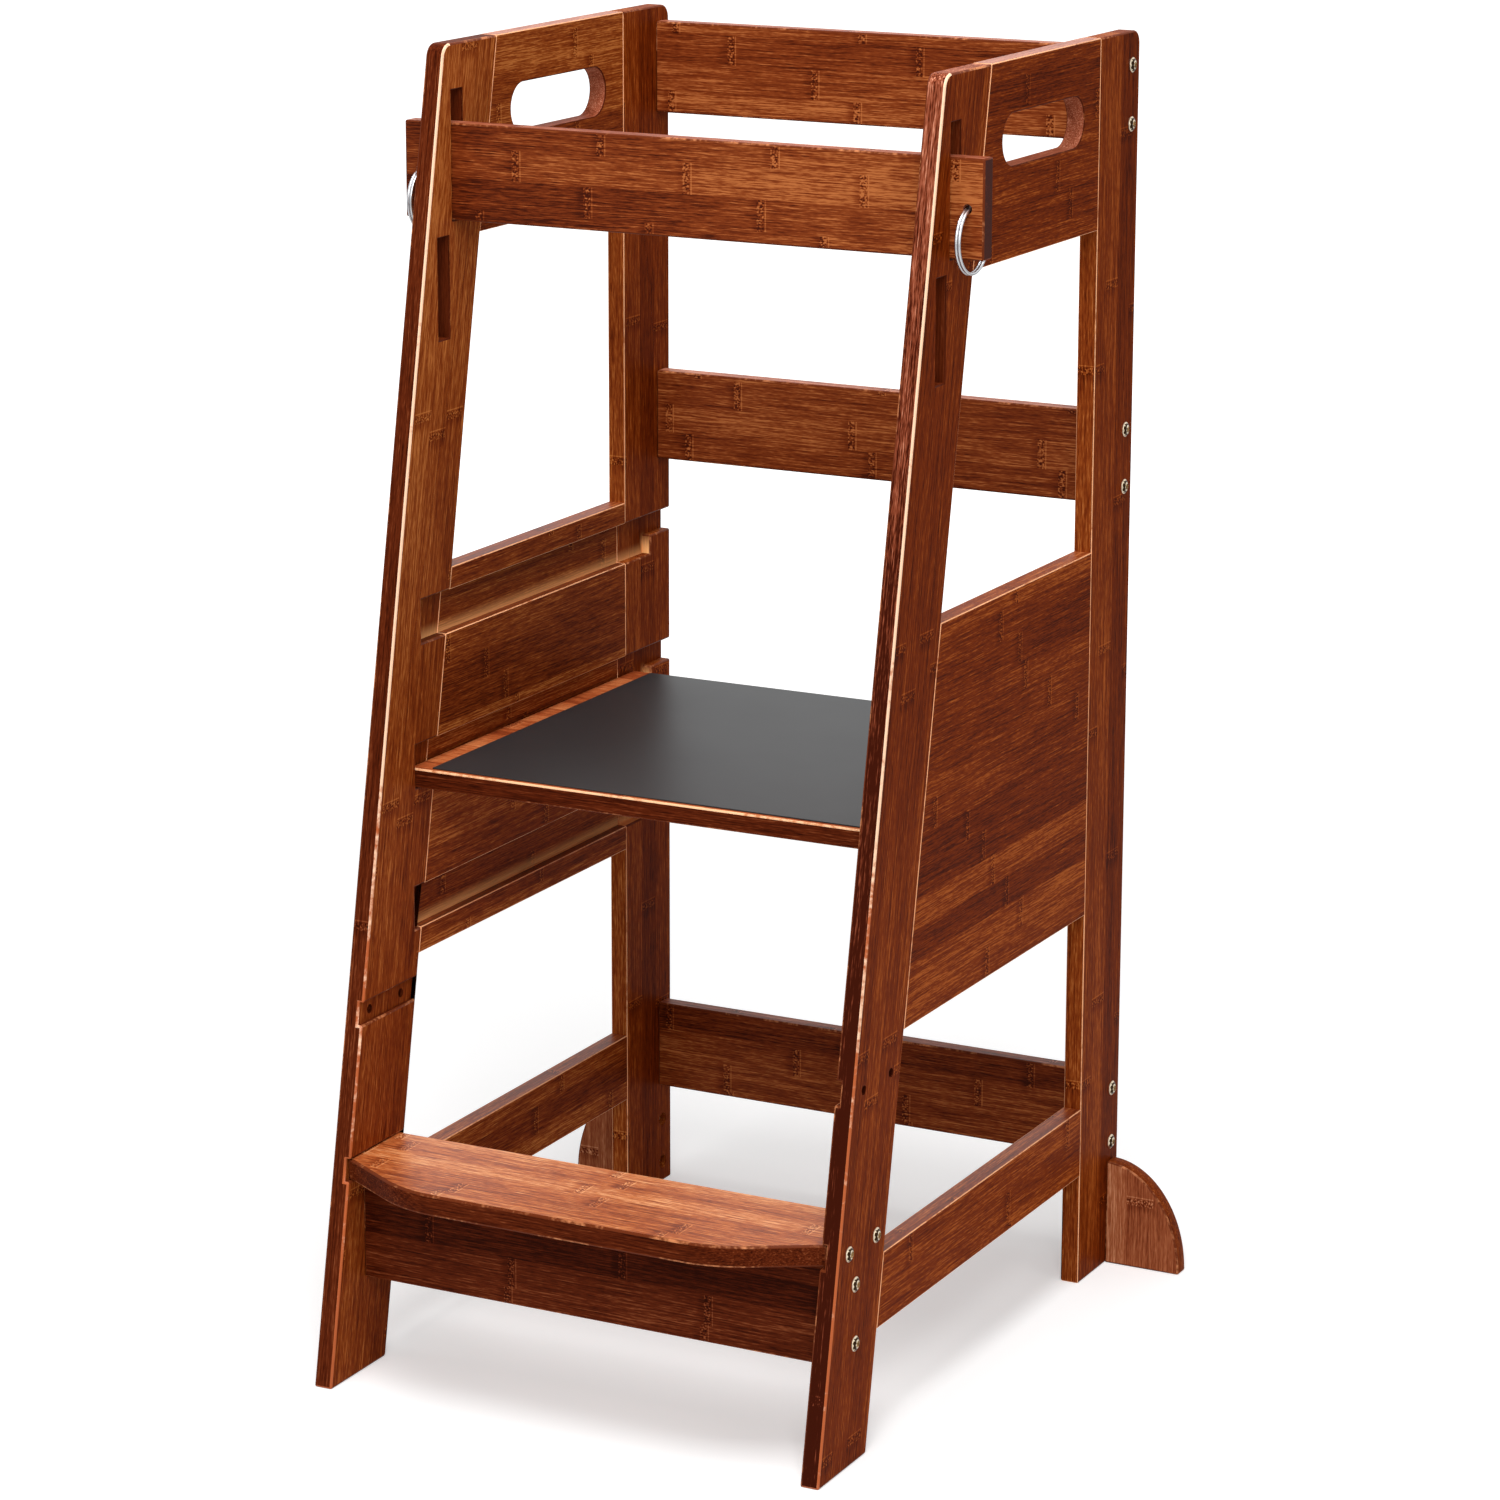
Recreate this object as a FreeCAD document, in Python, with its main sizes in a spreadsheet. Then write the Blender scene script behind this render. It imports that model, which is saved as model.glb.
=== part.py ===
"""Toddler kitchen helper stool: a tall step stool with a guard rail, three
platform heights and two step heights, modelled one wooden board at a time.

Millimetres.  X runs along the front, Y from the front to the back, Z up.  The
origin is on the floor under the middle of the box round the whole stool.
"""
import FreeCAD
import Part
import Sketcher
import math
import os

doc = FreeCAD.newDocument("kitchen_helper_stool")
vector = FreeCAD.Vector

# ---------------------------------------------------------------- dimensions
DIMENSIONS = [
    # the two sides
    ("overall_height", 900.0, "floor to the top edge of the sides"),
    ("inner_width", 358.0, "between the inner faces of the two sides"),
    ("board", 13.5, "thickness of nearly every board"),
    ("floor_depth", 490.0, "front leg's toe to rear leg's back edge"),
    ("lean", 172.0, "how far the front edge runs back from floor to top"),
    ("front_leg_run", 70.0, "front leg, measured level from front to back"),
    ("rear_leg_width", 69.0, "rear leg, front to back"),
    ("corner_radius", 10.0, "rounding of the top corners of the sides"),
    ("handle_height", 132.0, "handle boards, top to bottom"),
    ("hand_hole_height", 35.0, "hand hole, top to bottom"),
    ("hand_hole_drop", 53.0, "top edge down to the middle of the hand hole"),
    ("hand_hole_front", 29.13, "front leg's joint to the hand hole"),
    ("hand_hole_rear", 26.0, "hand hole to the rear leg's joint"),
    ("panel_bottom", 278.0, "underside of the side panels"),
    ("panel_height", 263.5, "side panels, top to bottom"),
    ("side_rail_bottom", 82.0, "underside of the low side rails"),
    ("side_rail_height", 50.5, "low side rails, top to bottom"),
    # platform and its grooves
    ("groove_depth", 7.0, "grooves for the platform, into the boards"),
    ("groove_height", 30.0, "grooves, top to bottom"),
    ("low_groove_floor", 296.0, "floor of the lowest groove"),
    ("groove_spacing", 100.0, "from one groove up to the next"),
    ("low_groove_setback", 119.0, "toe to the lowest groove's front end, level"),
    ("middle_groove_setback", 122.5, "the same for the middle groove"),
    ("high_groove_setback", 133.0, "the same for the highest groove"),
    ("sill_height", 14.0, "sill that stops the platform at the back"),
    ("sill_length", 30.0, "the sill, along the groove"),
    ("platform_end_gap", 0.5, "platform to the front end of its groove"),
    ("platform_rear_gap", 17.0, "platform to the sill behind it"),
    ("platform_side_gap", 1.0, "platform's side edge to the groove's bottom"),
    ("sheet_thickness", 1.0, "grip sheet on the platform"),
    ("sheet_side_margin", 16.5, "wood left at each side of the sheet"),
    ("sheet_front_margin", 4.0, "wood left in front of the sheet"),
    ("sheet_rear_margin", 4.0, "wood left behind the sheet"),
    ("moving_gap", 0.3, "under a board that lifts, over what it rests on"),
    # rails across the back
    ("rail_height", 66.0, "back rails and guard rail, top to bottom"),
    ("top_rail_drop", 11.0, "top edge of the sides down to the top back rail"),
    ("middle_rail_bottom", 566.5, "underside of the middle back rail"),
    ("low_rail_bottom", 79.0, "underside of the low back rail"),
    ("rear_inset", 6.5, "back edge of the legs to the rails' rear faces"),
    # guard rail, its slots and its rings
    ("slot_width", 14.5, "slots for the guard rail, front to back"),
    ("upper_slot_drop", 31.5, "top edge down to the upper slot"),
    ("upper_slot_height", 88.3, "upper slot, top to bottom"),
    ("upper_slot_setback", 187.8, "toe to the middle of the upper slot, level"),
    ("lower_slot_drop", 129.7, "top edge down to the lower slot"),
    ("lower_slot_height", 69.8, "lower slot, top to bottom"),
    ("lower_slot_setback", 168.0, "toe to the middle of the lower slot, level"),
    ("tab_length", 23.5, "guard rail past each outer face"),
    ("ring_hole", 6.5, "hole through each tab"),
    ("ring_mean", 42.5, "ring, middle of the wire across the ring"),
    ("ring_wire", 3.0, "thickness of the ring's wire"),
    # step and apron
    ("step_thickness", 15.0, "thickness of the step"),
    ("housing_depth", 3.5, "housings for the step, into the front legs"),
    ("housing_gap", 0.5, "housing over the step"),
    ("housing_end_gap", 0.3, "end of the step to the bottom of the housing"),
    ("low_housing_floor", 140.75, "floor of the lower housing"),
    ("high_housing_floor", 246.5, "floor of the upper housing"),
    ("nose_overhang", 4.5, "step's nose in front of the legs' toes"),
    ("nose_half_flat", 117.4, "middle to where the nose turns back"),
    ("nose_radius", 90.0, "rounding where the nose turns back"),
    ("nose_to_shoulder", 36.25, "nose to the step's shoulders, level"),
    ("nose_to_step_rear", 101.5, "nose to the step's rear edge"),
    ("apron_bottom", 67.0, "underside of the board below the step"),
    ("apron_setback", 50.25, "nose of the step to the apron's face"),
    # side feet
    ("foot_length", 58.0, "side foot past the outer face"),
    ("foot_height", 78.0, "side foot, top to bottom"),
    ("foot_bolt_low", 15.5, "lower bolt of the side foot"),
    ("foot_bolt_spacing", 34.0, "between the two bolts of a side foot"),
    # bolts, barrel nuts and dowels
    ("bolt_shank", 6.0, "diameter of the bolts"),
    ("bolt_bore", 6.5, "bore for a bolt"),
    ("bolt_head", 10.5, "diameter of the bolts' domed heads"),
    ("bolt_head_height", 2.8, "how far a head stands proud"),
    ("bolt_head_rim", 0.5, "straight rim below the dome of a head"),
    ("bolt_length", 50.0, "under the head"),
    ("foot_bolt_length", 31.0, "under the head, for the side feet"),
    ("socket_width", 4.0, "hexagon socket, across flats"),
    ("socket_depth", 3.0, "depth of the socket"),
    ("foot_counterbore", 10.5, "sunk hole for a side foot's bolt head"),
    ("foot_bolt_head", 10.0, "head of a side foot's bolt"),
    ("counterbore_depth", 6.0, "depth of that sunk hole"),
    ("rail_bolt_spacing", 41.0, "between the two bolts of a rail"),
    ("step_bolt_spacing", 40.5, "between the two bolts of the step"),
    ("nut_diameter", 10.0, "barrel nuts"),
    ("nut_length", 12.0, "barrel nuts"),
    ("nut_gap", 0.5, "barrel nut's bore over the nut's diameter"),
    ("nut_sink", 0.4, "barrel nut below the face it is set in"),
    ("nut_thread", 6.1, "threaded bore of a barrel nut"),
    ("nut_inset", 30.0, "end of a board to its barrel nuts"),
    ("foot_nut_inset", 15.0, "end of a side foot to its barrel nuts"),
    ("bore_runout", 3.0, "bore left past the tip of a bolt"),
    ("dowel_diameter", 6.0, "glued dowels"),
    ("dowel_half_length", 14.5, "dowel, into each of its two boards"),
    ("dowel_gap", 0.5, "dowel's bore over the dowel's diameter, for glue"),
    ("dowel_end_gap", 0.5, "left at each end of a dowel"),
    ("dowel_overrun", 1.0, "dowel's bore past the joint, because joints lean"),
    ("dowel_edge", 13.0, "edge of a board to its outer dowel"),
    ("panel_dowel_edge", 8.0, "edge of a side panel to its outer dowel"),
]

sheet = doc.addObject("Spreadsheet::Sheet", "sizes")
for row, (alias, number, note) in enumerate(DIMENSIONS, start=1):
    sheet.set("A%d" % row, note)
    sheet.set("B%d" % row, str(number))
    sheet.setAlias("B%d" % row, alias)
doc.recompute()


class Size:
    """A length kept two ways: as an expression on the sheet and as a number."""

    def __init__(self, text, number):
        self.text = text
        self.number = number

    @staticmethod
    def of(other):
        if isinstance(other, Size):
            return other
        return Size(repr(float(other)), float(other))

    def _join(self, sign, other, number):
        return Size("(%s %s %s)" % (self.text, sign, other.text), number)

    def __add__(self, other):
        other = Size.of(other)
        return self._join("+", other, self.number + other.number)

    def __sub__(self, other):
        other = Size.of(other)
        return self._join("-", other, self.number - other.number)

    def __mul__(self, other):
        other = Size.of(other)
        return self._join("*", other, self.number * other.number)

    def __truediv__(self, other):
        other = Size.of(other)
        return self._join("/", other, self.number / other.number)

    def __radd__(self, other):
        return Size.of(other) + self

    def __rsub__(self, other):
        return Size.of(other) - self

    def __rmul__(self, other):
        return Size.of(other) * self

    def __neg__(self):
        return Size.of(0) - self


S = {alias: Size("sizes." + alias, number) for alias, number, _ in DIMENSIONS}


def bind(thing, target, size):
    """Tie one value of a document object to its expression."""
    thing.setExpression(target, Size.of(size).text)


def place(thing, x, y, z):
    bind(thing, "Placement.Base.x", x)
    bind(thing, "Placement.Base.y", y)
    bind(thing, "Placement.Base.z", z)


# ------------------------------------------------------- derived positions
top = S["overall_height"]
half_in = S["inner_width"] / 2
half_out = half_in + S["board"]
rear_edge = (S["floor_depth"] + S["nose_overhang"]) / 2
toe = rear_edge - S["floor_depth"]
nose = -rear_edge
rear_leg_front = rear_edge - S["rear_leg_width"]
rail_rear = rear_edge - S["rear_inset"]
rail_middle = rail_rear - S["board"] / 2
handle_bottom = top - S["handle_height"]
hand_hole_level = top - S["hand_hole_drop"]
top_rail_bottom = top - S["top_rail_drop"] - S["rail_height"]
panel_top = S["panel_bottom"] + S["panel_height"]
upper_slot_bottom = top - S["upper_slot_drop"] - S["upper_slot_height"]
lower_slot_bottom = top - S["lower_slot_drop"] - S["lower_slot_height"]
guard_middle = toe + S["upper_slot_setback"]
guard_bottom = upper_slot_bottom + S["moving_gap"]
guard_level = guard_bottom + S["rail_height"] / 2
ring_x = half_out + S["tab_length"] / 2
step_bottom = S["low_housing_floor"]
step_level = step_bottom + S["step_thickness"] / 2
apron_front = nose + S["apron_setback"]
apron_height = step_bottom - S["apron_bottom"]
apron_level = S["apron_bottom"] + apron_height / 2
housing_height = S["step_thickness"] + S["housing_gap"]
platform_floor = S["low_groove_floor"] + S["groove_spacing"]
platform_front = toe + S["middle_groove_setback"] + S["platform_end_gap"]
platform_depth = rear_edge - S["sill_length"] - S["platform_rear_gap"] - platform_front
platform_bottom = platform_floor + S["moving_gap"]
platform_half = half_in + S["groove_depth"] - S["platform_side_gap"]


def front_edge(level):
    """Front edge of the leaning front leg at a level."""
    return toe + S["lean"] * level / top


def leg_back(level):
    """Back edge of the leaning front leg at a level."""
    return front_edge(level) + S["front_leg_run"]


# ----------------------------------------------------------- small builders
def origin_plane(body, role):
    for feature in body.Origin.OriginFeatures:
        if feature.Role == role:
            return feature
    raise RuntimeError("no plane " + role)


def new_body(label):
    body = doc.addObject("PartDesign::Body", label)
    body.Label = label
    return body


def new_sketch(body, name, role):
    sketch = body.newObject("Sketcher::SketchObject", name)
    sketch.AttachmentSupport = (origin_plane(body, role), [""])
    sketch.MapMode = "FlatFace"
    return sketch


def pin(sketch, geometry, point, u, v):
    """Fix a point of a sketch at two sizes from the sketch's origin."""
    for kind, size in (("DistanceX", u), ("DistanceY", v)):
        size = Size.of(size)
        constraint = Sketcher.Constraint(kind, -1, 1, geometry, point, size.number)
        index = sketch.addConstraint(constraint)
        bind(sketch, "Constraints[%d]" % index, size)


def outline(sketch, corners):
    """A closed loop of straight lines through the corners."""
    corners = [(Size.of(u), Size.of(v)) for u, v in corners]
    first = sketch.GeometryCount
    count = len(corners)
    for i, (u, v) in enumerate(corners):
        next_u, next_v = corners[(i + 1) % count]
        start = vector(u.number, v.number, 0)
        end = vector(next_u.number, next_v.number, 0)
        sketch.addGeometry(Part.LineSegment(start, end))
    for i in range(count):
        following = first + (i + 1) % count
        sketch.addConstraint(Sketcher.Constraint("Coincident", first + i, 2, following, 1))
    for i, (u, v) in enumerate(corners):
        pin(sketch, first + i, 1, u, v)


def rectangle(sketch, u0, v0, u1, v1):
    outline(sketch, [(u0, v0), (u1, v0), (u1, v1), (u0, v1)])


def circle(sketch, u, v, diameter):
    u, v, diameter = Size.of(u), Size.of(v), Size.of(diameter)
    centre = vector(u.number, v.number, 0)
    shape = Part.Circle(centre, vector(0, 0, 1), diameter.number / 2)
    index = sketch.addGeometry(shape)
    pin(sketch, index, 3, u, v)
    constraint = Sketcher.Constraint("Diameter", index, diameter.number)
    number = sketch.addConstraint(constraint)
    bind(sketch, "Constraints[%d]" % number, diameter)


def pad(body, sketch, length, reverse=False):
    feature = body.newObject("PartDesign::Pad", sketch.Name + "_pad")
    feature.Profile = sketch
    bind(feature, "Length", length)
    feature.Reversed = reverse
    doc.recompute()
    return feature


def pocket(body, sketch, depth, reverse=False):
    before = body.Shape.Volume
    feature = body.newObject("PartDesign::Pocket", sketch.Name + "_pocket")
    feature.Profile = sketch
    bind(feature, "Length", depth)
    feature.Reversed = reverse
    doc.recompute()
    if not body.Shape.Volume < before - 1.0:
        raise RuntimeError("pocket missed its board: " + sketch.Name)
    return feature


TURN = {
    "X": FreeCAD.Rotation(vector(0, 1, 0), 90),
    "Y": FreeCAD.Rotation(vector(1, 0, 0), -90),
    "Z": FreeCAD.Rotation(),
}


def bore(body, name, start, axis, diameter, length):
    """A round hole from a start point along +X, +Y or +Z of the body."""
    feature = body.newObject("PartDesign::SubtractiveCylinder", name)
    bind(feature, "Radius", Size.of(diameter) / 2)
    bind(feature, "Height", length)
    feature.Placement = FreeCAD.Placement(vector(), TURN[axis])
    place(feature, *start)
    return feature


def round_edges(body, radius, wanted):
    """Fillet the edges of a body for which wanted(edge) is true."""
    names = []
    for number, edge in enumerate(body.Shape.Edges, start=1):
        if wanted(edge):
            names.append("Edge%d" % number)
    unrounded = body.Tip
    feature = body.newObject("PartDesign::Fillet", body.Name + "_rounding")
    feature.Base = (unrounded, names)
    bind(feature, "Radius", radius)
    doc.recompute()
    return feature


def near(a, b):
    return abs(a - b) < 0.01


def box(name, corner, lengths):
    piece = doc.addObject("Part::Box", name)
    for side, length in zip(("Length", "Width", "Height"), lengths):
        bind(piece, side, length)
    place(piece, *corner)
    return piece


def rod(name, start, axis, diameter, length):
    piece = doc.addObject("Part::Cylinder", name)
    bind(piece, "Radius", Size.of(diameter) / 2)
    bind(piece, "Height", length)
    piece.Placement = FreeCAD.Placement(vector(), TURN[axis])
    place(piece, *start)
    return piece


def gather(name, pieces):
    group = doc.addObject("Part::Compound", name)
    group.Links = pieces
    return group


def cut(label, base, tool):
    piece = doc.addObject("Part::Cut", label)
    piece.Label = label
    piece.Base = base
    piece.Tool = tool
    return piece


# -------------------------------------------------------- shared positions
GROOVES = [
    (S["low_groove_floor"], S["low_groove_setback"]),
    (S["low_groove_floor"] + S["groove_spacing"], S["middle_groove_setback"]),
    (S["low_groove_floor"] + S["groove_spacing"] * 2, S["high_groove_setback"]),
]
HOUSINGS = [S["low_housing_floor"], S["high_housing_floor"]]
BACK_RAILS = [
    ("top", top_rail_bottom),
    ("middle", S["middle_rail_bottom"]),
    ("low", S["low_rail_bottom"]),
]
bolt_pair = [-S["rail_bolt_spacing"] / 2, S["rail_bolt_spacing"] / 2]
step_pair = [-S["step_bolt_spacing"] / 2, S["step_bolt_spacing"] / 2]
foot_levels = [S["foot_bolt_low"], S["foot_bolt_low"] + S["foot_bolt_spacing"]]


def step_bolt_y(level, offset):
    return front_edge(level) + S["front_leg_run"] / 2 + offset


handle_dowels = [handle_bottom + S["dowel_edge"], top - S["dowel_edge"]]
side_rail_dowels = [
    S["side_rail_bottom"] + S["dowel_edge"],
    S["side_rail_bottom"] + S["side_rail_height"] - S["dowel_edge"],
]
between = (S["groove_spacing"] + S["groove_height"]) / 2
panel_dowels = [
    S["panel_bottom"] + S["panel_dowel_edge"],
    GROOVES[0][0] + between,
    GROOVES[1][0] + between,
    panel_top - S["panel_dowel_edge"],
]
DOWEL_LEVELS = handle_dowels + panel_dowels + side_rail_dowels
bore_reach = S["dowel_half_length"] + S["dowel_end_gap"]
dowel_bore = S["dowel_diameter"] + S["dowel_gap"]
nut_bore = S["nut_diameter"] + S["nut_gap"]
bolt_reach = S["bolt_length"] - S["board"] + S["bore_runout"]


def dowel_bores(body, name, levels, outward, edge, inward):
    """Bores for dowels in the edge of a side board.

    edge(level) gives the edge's place; inward is +1 when the board lies
    behind that edge and -1 when it lies in front of it.
    """
    for number, level in enumerate(levels):
        start = edge(level) - (S["dowel_overrun"] if inward > 0 else bore_reach)
        bore(body, "%s_%d" % (name, number), (outward * S["board"] / 2, start, level),
             "Y", dowel_bore, bore_reach + S["dowel_overrun"])


# ------------------------------------------------------------- side boards
def front_leg(side, outward):
    """The leaning front leg, with slots, housings and groove ends."""
    reverse = outward < 0
    body = new_body(side + "_front_leg")
    place(body, outward * half_in, 0, 0)
    sketch = new_sketch(body, side + "_front_outline", "YZ_Plane")
    outline(sketch, [(toe, 0), (toe + S["front_leg_run"], 0),
                     (leg_back(top), top), (front_edge(top), top)])
    pad(body, sketch, S["board"], reverse)
    crest = front_edge(top).number
    round_edges(body, S["corner_radius"], lambda edge: all(
        near(v.Y, crest) and near(v.Z, top.number) for v in edge.Vertexes))
    # through slots for the guard rail, and bores for the bolts
    slots = new_sketch(body, side + "_slots", "YZ_Plane")
    for setback, bottom, height in (
            (S["upper_slot_setback"], upper_slot_bottom, S["upper_slot_height"]),
            (S["lower_slot_setback"], lower_slot_bottom, S["lower_slot_height"])):
        middle = toe + setback
        rectangle(slots, middle - S["slot_width"] / 2, bottom,
                  middle + S["slot_width"] / 2, bottom + height)
    for offset in bolt_pair:
        circle(slots, apron_front + S["board"] / 2, apron_level + offset, S["bolt_bore"])
    for floor in HOUSINGS:
        level = floor + S["step_thickness"] / 2
        for offset in step_pair:
            circle(slots, step_bolt_y(level, offset), level, S["bolt_bore"])
    pocket(body, slots, S["board"] + 1, not reverse)
    # housings for the step, open at both edges of the leg
    housings = new_sketch(body, side + "_housings", "YZ_Plane")
    for floor in HOUSINGS:
        rectangle(housings, front_edge(floor) - 5, floor,
                  leg_back(floor + housing_height) + 5, floor + housing_height)
    pocket(body, housings, S["housing_depth"], not reverse)
    # front ends of the platform grooves
    grooves = new_sketch(body, side + "_front_grooves", "YZ_Plane")
    for floor, setback in GROOVES:
        rectangle(grooves, toe + setback, floor,
                  leg_back(floor + S["groove_height"]) + 5, floor + S["groove_height"])
    pocket(body, grooves, S["groove_depth"], not reverse)
    dowel_bores(body, side + "_front_leg_bore", DOWEL_LEVELS, outward, leg_back, -1)
    return body


def rear_leg(side, outward):
    """The upright rear leg, with the rear ends of the platform grooves."""
    reverse = outward < 0
    body = new_body(side + "_rear_leg")
    place(body, outward * half_in, 0, 0)
    sketch = new_sketch(body, side + "_rear_outline", "YZ_Plane")
    rectangle(sketch, rear_leg_front, 0, rear_edge, top)
    pad(body, sketch, S["board"], reverse)
    round_edges(body, S["corner_radius"], lambda edge: all(
        near(v.Y, rear_edge.number) and near(v.Z, top.number) for v in edge.Vertexes))
    # bores for the bolts of the back rails and of the side foot
    bores = new_sketch(body, side + "_rear_bores", "YZ_Plane")
    for _, bottom in BACK_RAILS:
        for offset in bolt_pair:
            level = bottom + S["rail_height"] / 2 + offset
            circle(bores, rail_middle, level, S["bolt_bore"])
    for level in foot_levels:
        circle(bores, rail_middle, level, S["bolt_bore"])
    pocket(body, bores, S["board"] + 1, not reverse)
    sinks = new_sketch(body, side + "_foot_sinks", "YZ_Plane")
    for level in foot_levels:
        circle(sinks, rail_middle, level, S["foot_counterbore"])
    pocket(body, sinks, S["counterbore_depth"], not reverse)
    # a groove's lower part ends at the sill, its upper part runs out at the back
    grooves = new_sketch(body, side + "_rear_grooves", "YZ_Plane")
    for floor, _ in GROOVES:
        sill = rear_edge - S["sill_length"]
        outline(grooves, [(rear_leg_front - 5, floor), (sill, floor),
                          (sill, floor + S["sill_height"]),
                          (rear_edge + 5, floor + S["sill_height"]),
                          (rear_edge + 5, floor + S["groove_height"]),
                          (rear_leg_front - 5, floor + S["groove_height"])])
    pocket(body, grooves, S["groove_depth"], not reverse)
    dowel_bores(body, side + "_rear_leg_bore", DOWEL_LEVELS, outward,
                lambda level: rear_leg_front, 1)
    return body


def filling_board(side, outward, name, bottom, crest, levels):
    """A level board between the two legs of a side, flush with them."""
    reverse = outward < 0
    body = new_body("%s_%s" % (side, name))
    place(body, outward * half_in, 0, 0)
    sketch = new_sketch(body, "%s_%s_outline" % (side, name), "YZ_Plane")
    outline(sketch, [(leg_back(bottom), bottom), (rear_leg_front, bottom),
                     (rear_leg_front, crest), (leg_back(crest), crest)])
    pad(body, sketch, S["board"], reverse)
    dowel_bores(body, "%s_%s_front_bore" % (side, name), levels, outward, leg_back, 1)
    dowel_bores(body, "%s_%s_rear_bore" % (side, name), levels, outward,
                lambda level: rear_leg_front, -1)
    doc.recompute()
    return body


def handle_board(side, outward):
    body = filling_board(side, outward, "handle_board", handle_bottom, top, handle_dowels)
    half_height = S["hand_hole_height"] / 2
    front = leg_back(hand_hole_level) + S["hand_hole_front"] + half_height
    rear = rear_leg_front - S["hand_hole_rear"] - half_height
    hole = new_sketch(body, side + "_hand_hole", "YZ_Plane")
    rectangle(hole, front, hand_hole_level - half_height,
              rear, hand_hole_level + half_height)
    pocket(body, hole, S["board"] + 1, outward > 0)
    ends = new_sketch(body, side + "_hand_hole_ends", "YZ_Plane")
    for end in (front, rear):
        circle(ends, end, hand_hole_level, S["hand_hole_height"])
    pocket(body, ends, S["board"] + 1, outward > 0)
    return body


def side_panel(side, outward):
    body = filling_board(side, outward, "side_panel", S["panel_bottom"], panel_top,
                         panel_dowels)
    grooves = new_sketch(body, side + "_panel_grooves", "YZ_Plane")
    for floor, _ in GROOVES:
        rectangle(grooves, leg_back(floor) - 5, floor,
                  rear_leg_front + 5, floor + S["groove_height"])
    pocket(body, grooves, S["groove_depth"], outward > 0)
    return body


def side_rail(side, outward):
    crest = S["side_rail_bottom"] + S["side_rail_height"]
    return filling_board(side, outward, "side_rail", S["side_rail_bottom"], crest,
                         side_rail_dowels)


def side_dowels(side, outward):
    """The glued dowels of one side, across every joint of it."""
    pins = []
    for number, level in enumerate(DOWEL_LEVELS):
        for end, joint in (("front", leg_back(level)), ("rear", rear_leg_front)):
            start = (outward * (half_in + S["board"] / 2),
                     joint - S["dowel_half_length"], level)
            name = "%s_%s_dowel_%d" % (side, end, number)
            length = S["dowel_half_length"] * 2
            pins.append(rod(name, start, "Y", S["dowel_diameter"], length))
    return gather(side + "_dowels", pins)


# ------------------------------------------------------------- cross boards
def end_bores(body, name, y, levels):
    """Bores for bolts in both ends of a board between the two sides."""
    for number, level in enumerate(levels):
        bore(body, "%s_left_%d" % (name, number), (-half_in, y, level),
             "X", S["bolt_bore"], bolt_reach)
        bore(body, "%s_right_%d" % (name, number), (half_in - bolt_reach, y, level),
             "X", S["bolt_bore"], bolt_reach)


def nut_pockets(body, name, front, levels):
    """Round pockets for barrel nuts, from a board's rear face forwards."""
    depth = S["nut_length"] + S["nut_sink"]
    for number, level in enumerate(levels):
        for end, x in (("left", S["nut_inset"] - half_in), ("right", half_in - S["nut_inset"])):
            start = (x, front + S["board"] - depth, level)
            bore(body, "%s_%s_%d" % (name, end, number), start, "Y", nut_bore, depth)


def cross_board(label, front, bottom, height, levels):
    """An upright board across the stool, butted against both sides."""
    body = new_body(label)
    place(body, 0, 0, 0)
    sketch = new_sketch(body, label + "_outline", "XZ_Plane")
    bind(sketch, "AttachmentOffset.Base.z", -(front + S["board"]))
    rectangle(sketch, -half_in, bottom, half_in, bottom + height)
    pad(body, sketch, S["board"])
    end_bores(body, label + "_bolt_bore", front + S["board"] / 2, levels)
    nut_pockets(body, label + "_nut_bore", front, levels)
    doc.recompute()
    return body


def guard_rail():
    """The straight rail that sits in a slot of each front leg."""
    body = new_body("guard_rail")
    half = half_out + S["tab_length"]
    sketch = new_sketch(body, "guard_outline", "XZ_Plane")
    bind(sketch, "AttachmentOffset.Base.z", -(guard_middle + S["board"] / 2))
    rectangle(sketch, -half, guard_bottom, half, guard_bottom + S["rail_height"])
    for x in (-ring_x, ring_x):
        circle(sketch, x, guard_level, S["ring_hole"])
    pad(body, sketch, S["board"])
    return body


def front_step():
    """The step, with its bowed nose and its ends in the legs' housings."""
    body = new_body("front_step")
    place(body, 0, 0, step_bottom)
    tip = half_in + S["housing_depth"] - S["housing_end_gap"]
    shoulder = nose + S["nose_to_shoulder"]
    back = nose + S["nose_to_step_rear"]
    sketch = new_sketch(body, "step_outline", "XY_Plane")
    outline(sketch, [(-tip, back), (-tip, shoulder), (-half_in, shoulder),
                     (-S["nose_half_flat"], nose), (S["nose_half_flat"], nose),
                     (half_in, shoulder), (tip, shoulder), (tip, back)])
    pad(body, sketch, S["step_thickness"])
    for x in (-S["nose_half_flat"], S["nose_half_flat"]):
        round_edges(body, S["nose_radius"], lambda edge: all(
            near(v.X, x.number) and near(v.Y, nose.number) for v in edge.Vertexes))
    level = S["step_thickness"] / 2
    depth = S["nut_length"] + S["nut_sink"]
    reach = bolt_reach + tip - half_in
    for number, offset in enumerate(step_pair):
        y = step_bolt_y(step_level, offset)
        bore(body, "step_left_bore_%d" % number, (-tip, y, level), "X", S["bolt_bore"], reach)
        bore(body, "step_right_bore_%d" % number, (tip - reach, y, level), "X",
             S["bolt_bore"], reach)
        for end, x in (("left", S["nut_inset"] - half_in), ("right", half_in - S["nut_inset"])):
            bore(body, "step_nut_%s_%d" % (end, number), (x, y, 0), "Z", nut_bore, depth)
    doc.recompute()
    return body


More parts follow.
